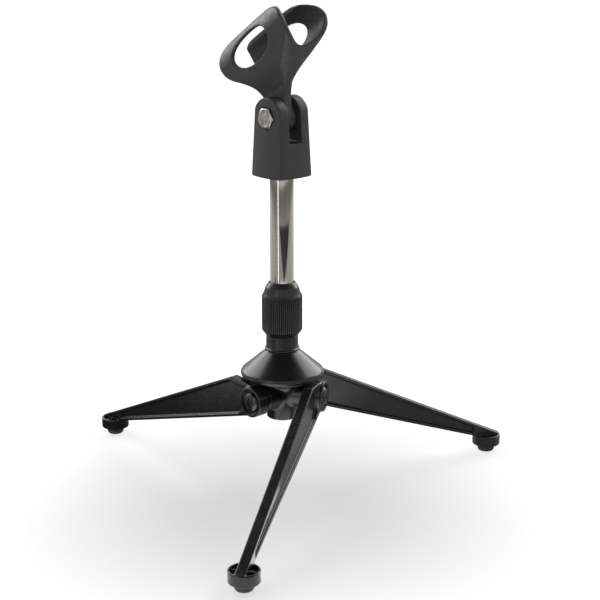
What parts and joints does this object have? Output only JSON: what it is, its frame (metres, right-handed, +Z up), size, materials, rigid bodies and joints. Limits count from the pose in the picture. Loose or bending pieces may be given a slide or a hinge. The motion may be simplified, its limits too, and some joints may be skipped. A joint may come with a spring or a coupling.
{
  "type": "desktop microphone stand",
  "caption": "Low desktop microphone stand: tripod of folding cast legs, knurled clutch on a sliding chrome tube, and a tilting plastic cradle clip for a handheld microphone.",
  "frame": {"origin": "middle of the footprint box, on the ground under the three rubber feet", "axes": "+Z up along the column, -Y towards the front foot, +X to the right"},
  "size_m": [0.3019, 0.2642, 0.3281],
  "materials": {
    "black_casting": "satin to gloss black enamel on die-cast metal",
    "black_plastic": "matte moulded black plastic",
    "chrome_tube": "bright chrome plating",
    "nickel_steel": "satin nickel-plated steel",
    "black_steel": "black oxide steel",
    "brass": "plain turned brass",
    "black_nylon": "smooth black nylon",
    "black_rubber": "matte black rubber"
  },
  "bodies": {
    "base": {"hub_casting": "black_casting", "hub_bottom_cap": "black_plastic", "column_tube": "black_casting", "clutch_collet": "black_nylon", "leg_screw_front": "black_steel", "leg_screw_right": "black_steel", "leg_screw_left": "black_steel", "leg_washer_front": "black_nylon", "leg_washer_right": "black_nylon", "leg_washer_left": "black_nylon"},
    "clutch": {"clutch_nut": "black_casting"},
    "leg_front": {"leg_front": "black_casting", "rubber_foot_front": "black_rubber"},
    "leg_right": {"leg_right": "black_casting", "rubber_foot_right": "black_rubber"},
    "leg_left": {"leg_left": "black_casting", "rubber_foot_left": "black_rubber"},
    "tube": {"inner_tube": "chrome_tube", "tube_stop_bush": "black_nylon", "threaded_stud": "black_steel"},
    "yoke": {"clip_yoke": "black_plastic", "yoke_insert": "brass", "pivot_bolt": "nickel_steel", "pivot_nut": "nickel_steel", "tilt_washer_head": "black_nylon", "tilt_washer_nut": "black_nylon"},
    "clip": {"clip_body": "black_plastic"}
  },
  "joints": [
    {"name": "leg_front_fold", "type": "hinge", "parent": "base", "child": "leg_front", "pos_m": [0.02432, 0.03696, 0.0665], "axis": [0.9885, -0.1512, 0], "range_deg": [0, 70]},
    {"name": "leg_right_fold", "type": "hinge", "parent": "base", "child": "leg_right", "pos_m": [-0.00894, 0.06359, 0.0665], "axis": [-0.3633, 0.9317, 0], "range_deg": [0, 70]},
    {"name": "leg_left_fold", "type": "hinge", "parent": "base", "child": "leg_left", "pos_m": [-0.01538, 0.02148, 0.0665], "axis": [-0.6252, -0.7805, 0], "range_deg": [0, 70]},
    {"name": "clutch_turn", "type": "hinge", "parent": "base", "child": "clutch", "pos_m": [0, 0.04068, 0.125], "axis": [0, 0, 1], "range_deg": [0, 270]},
    {"name": "tube_slide", "type": "slide", "parent": "base", "child": "tube", "axis": [0, 0, 1], "range_m": [-0.06, 0]},
    {"name": "clip_swivel", "type": "hinge", "parent": "tube", "child": "yoke", "pos_m": [0, 0.04068, 0.22], "axis": [0, 0, 1], "continuous": true},
    {"name": "clip_tilt", "type": "hinge", "parent": "yoke", "child": "clip", "pos_m": [0, 0.04068, 0.2566], "axis": [-0.6561, -0.7547, 0], "range_deg": [-115, 58.5]}
  ]
}
